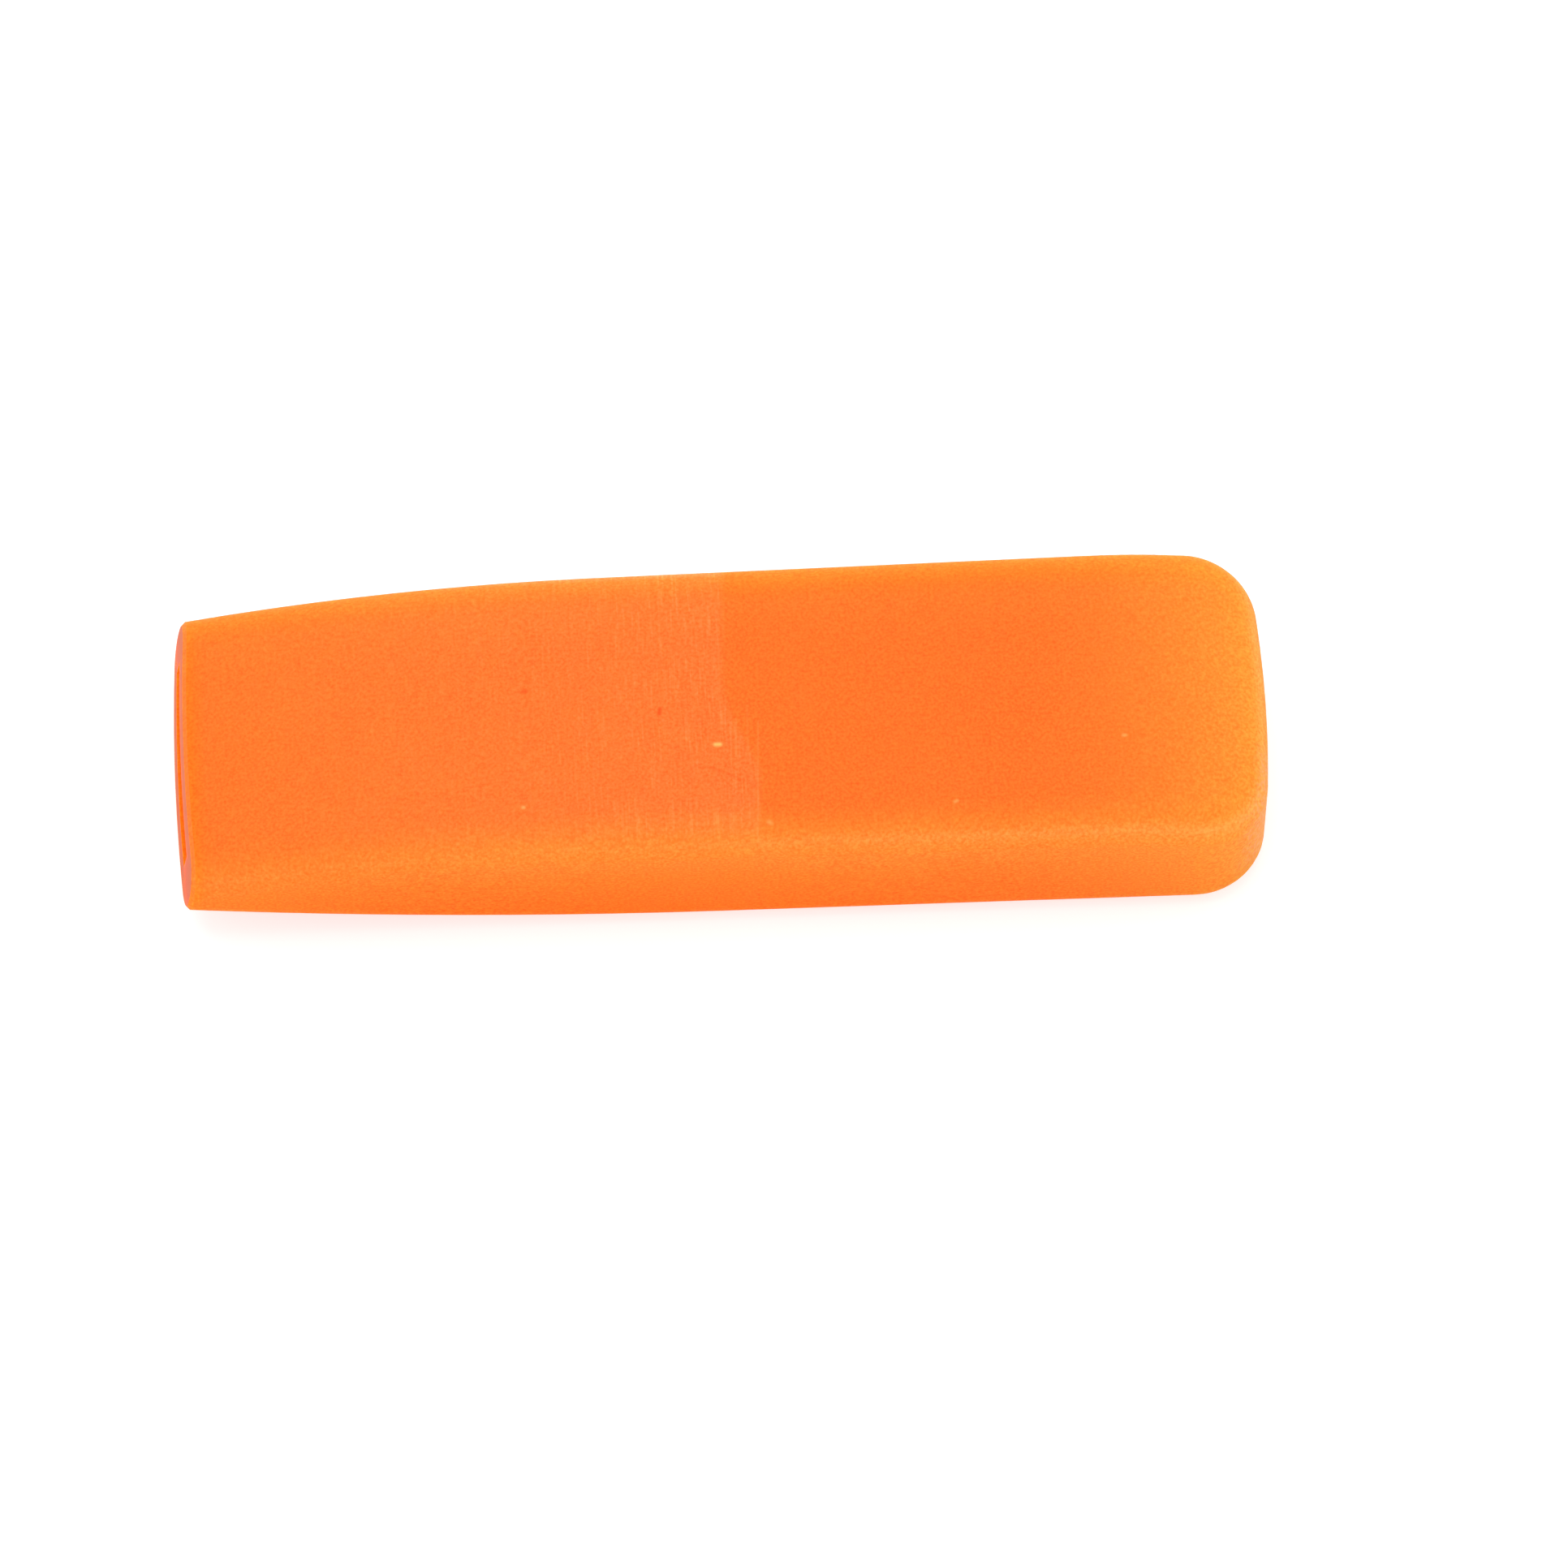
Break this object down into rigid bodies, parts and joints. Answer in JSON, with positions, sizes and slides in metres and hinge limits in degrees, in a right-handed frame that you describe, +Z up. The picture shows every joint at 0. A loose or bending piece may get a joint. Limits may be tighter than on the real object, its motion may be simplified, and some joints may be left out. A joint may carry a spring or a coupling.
{
  "type": "training whistle",
  "caption": "Pealess dog training whistle with a flattened duck-bill mouthpiece, a rounded tail, an underside window with a knife-edged labium and a lanyard hole.",
  "frame": {"origin": "on the resting face, under the middle of the whistle's length and width", "axes": "+X from the mouth to the tail, +Y across the width, +Z up from the sound plate to the plain back"},
  "size_m": [0.06, 0.0178, 0.0097],
  "materials": {
    "shell_plastic": "satin, slightly translucent fluorescent orange",
    "block_plastic": "satin, slightly translucent orange"
  },
  "bodies": {
    "root": {"back_shell": "shell_plastic", "sound_plate": "shell_plastic", "windway_block": "block_plastic"}
  },
  "joints": []
}
